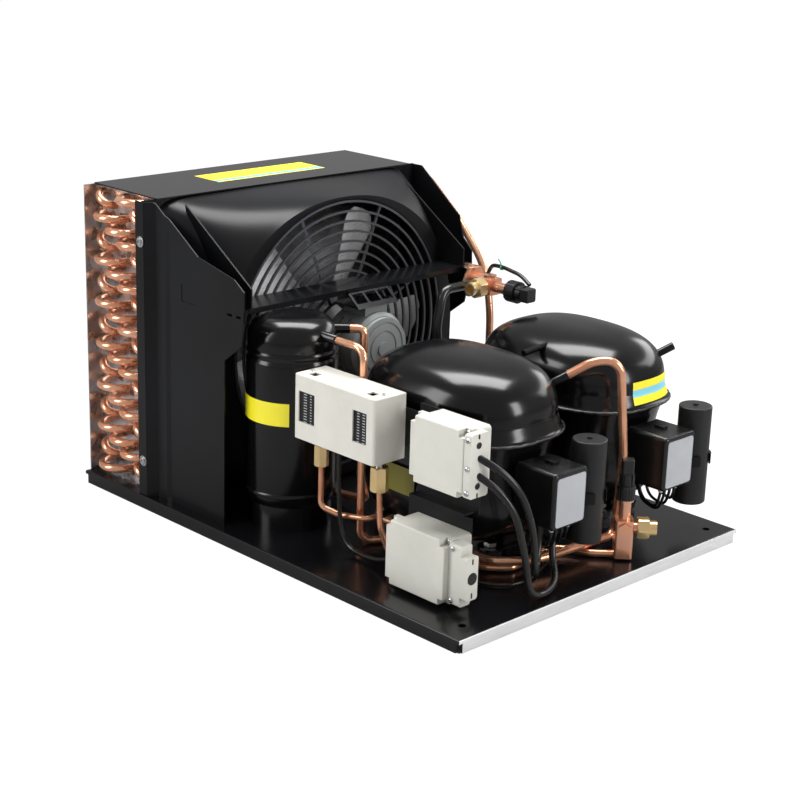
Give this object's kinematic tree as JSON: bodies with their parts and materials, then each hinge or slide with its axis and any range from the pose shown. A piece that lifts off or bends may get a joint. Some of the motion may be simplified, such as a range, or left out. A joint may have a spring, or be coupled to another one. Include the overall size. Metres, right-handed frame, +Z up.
{
  "type": "refrigeration condensing unit",
  "caption": "Air-cooled refrigeration condensing unit: finned coil, shrouded fan, hermetic compressors, receiver, pressure switch and service valves on a base plate.",
  "frame": {"origin": "centre of the base plate's footprint, on the floor it stands on", "axes": "+X the way the air blows, from the condenser to the compressors; +Y away from the service side; +Z up"},
  "size_m": [0.625, 0.45, 0.3615],
  "materials": {
    "black_paint": "satin black paint",
    "black_enamel": "glossy black enamel",
    "galvanised": "galvanised sheet",
    "zinc_steel": "zinc plated",
    "aluminium": "mill finish",
    "grey_aluminium": "cast",
    "copper": "satin copper",
    "brass": "satin brass",
    "dark_plastic": "moulded",
    "black_plastic": "moulded",
    "cream_paint": "satin cream paint",
    "cream_plastic": "moulded",
    "rubber": "black rubber",
    "black_cable": "black sheath",
    "black_foam": "painted tube"
  },
  "bodies": {
    "chassis": {"base_plate": "black_paint", "cable_clamps": "cream_plastic", "cable_compressor_1": "black_cable", "cable_pressure_switch": "black_cable", "cable_supply": "black_cable", "capacitor_clips": "black_paint", "capacitors": "dark_plastic", "clamp_screws": "zinc_steel", "compressor_1_lower_shell": "black_enamel", "compressor_1_upper_shell": "black_enamel", "compressor_2_lower_shell": "black_enamel", "compressor_2_upper_shell": "black_enamel", "compressor_bolts": "zinc_steel", "compressor_feet": "black_enamel", "condensate_line": "copper", "condenser_end_plates": "galvanised", "condenser_fins": "aluminium", "condenser_top_sheet": "black_paint", "cross_shelf": "black_paint", "discharge_line": "copper", "fan_guard": "black_paint", "fan_motor_end_cap": "grey_aluminium", "fan_motor_housing": "black_paint", "fan_shroud": "black_paint", "flare_nuts": "brass", "junction_boxes": "cream_plastic", "junction_bracket": "black_paint", "junction_lids": "cream_plastic", "liquid_line": "copper", "liquid_valve_body": "copper", "liquid_valve_port": "brass", "motor_bracket": "black_paint", "pressure_lines": "copper", "receiver_shell": "black_enamel", "receiver_skirt": "black_enamel", "return_bends": "copper", "rubber_grommets": "rubber", "shroud_gussets": "black_paint", "side_wing_far": "black_paint", "side_wing_near": "black_paint", "suction_line": "black_foam", "suction_valve_body": "copper", "suction_valve_pad": "copper", "suction_valve_port": "brass", "switch_bellows": "zinc_steel", "switch_chassis": "galvanised", "switch_scales": "black_plastic", "terminal_blocks": "dark_plastic"},
    "fan": {"fan_wheel": "aluminium", "fan_shaft": "zinc_steel"},
    "suction_cap": {"suction_valve_cap": "black_plastic"},
    "suction_spindle": {"suction_valve_spindle": "zinc_steel"},
    "liquid_cap": {"liquid_valve_cap": "black_plastic"},
    "liquid_spindle": {"liquid_valve_spindle": "zinc_steel"},
    "switch_front": {"switch_cover": "cream_paint"},
    "low_setting": {"setting_spindle_low": "zinc_steel"},
    "high_setting": {"setting_spindle_high": "zinc_steel"},
    "terminal_cover_near": {"terminal_cover_1": "black_plastic"},
    "terminal_cover_far": {"terminal_cover_2": "black_plastic"}
  },
  "joints": [
    {"name": "fan_spin", "type": "hinge", "parent": "chassis", "child": "fan", "pos_m": [-0.12, -0.01, 0.192], "axis": [1, 0, 0], "continuous": true},
    {"name": "suction_cap_pull", "type": "slide", "parent": "chassis", "child": "suction_cap", "axis": [1, 0, 0], "range_m": [0, 0.03]},
    {"name": "suction_spindle_turn", "type": "hinge", "parent": "chassis", "child": "suction_spindle", "pos_m": [0.02, 0.155, 0.2435], "axis": [1, 0, 0], "range_deg": [0, 1080]},
    {"name": "liquid_cap_pull", "type": "slide", "parent": "chassis", "child": "liquid_cap", "axis": [0, 0, 1], "range_m": [0, 0.03]},
    {"name": "liquid_spindle_turn", "type": "hinge", "parent": "chassis", "child": "liquid_spindle", "pos_m": [0.2815, 0.058, 0.08], "axis": [0, 0, 1], "range_deg": [0, 1080]},
    {"name": "switch_cover_pull", "type": "slide", "parent": "chassis", "child": "switch_front", "axis": [0, -1, 0], "range_m": [0, 0.06]},
    {"name": "low_setting_turn", "type": "hinge", "parent": "chassis", "child": "low_setting", "pos_m": [0.035, -0.168, 0.18], "axis": [0, 0, 1], "range_deg": [0, 1080]},
    {"name": "high_setting_turn", "type": "hinge", "parent": "chassis", "child": "high_setting", "pos_m": [0.124, -0.168, 0.18], "axis": [0, 0, 1], "range_deg": [0, 1080]},
    {"name": "near_terminal_cover_pull", "type": "slide", "parent": "chassis", "child": "terminal_cover_near", "axis": [1, 0, 0], "range_m": [0, 0.06]},
    {"name": "far_terminal_cover_pull", "type": "slide", "parent": "chassis", "child": "terminal_cover_far", "axis": [1, 0, 0], "range_m": [0, 0.06]}
  ]
}
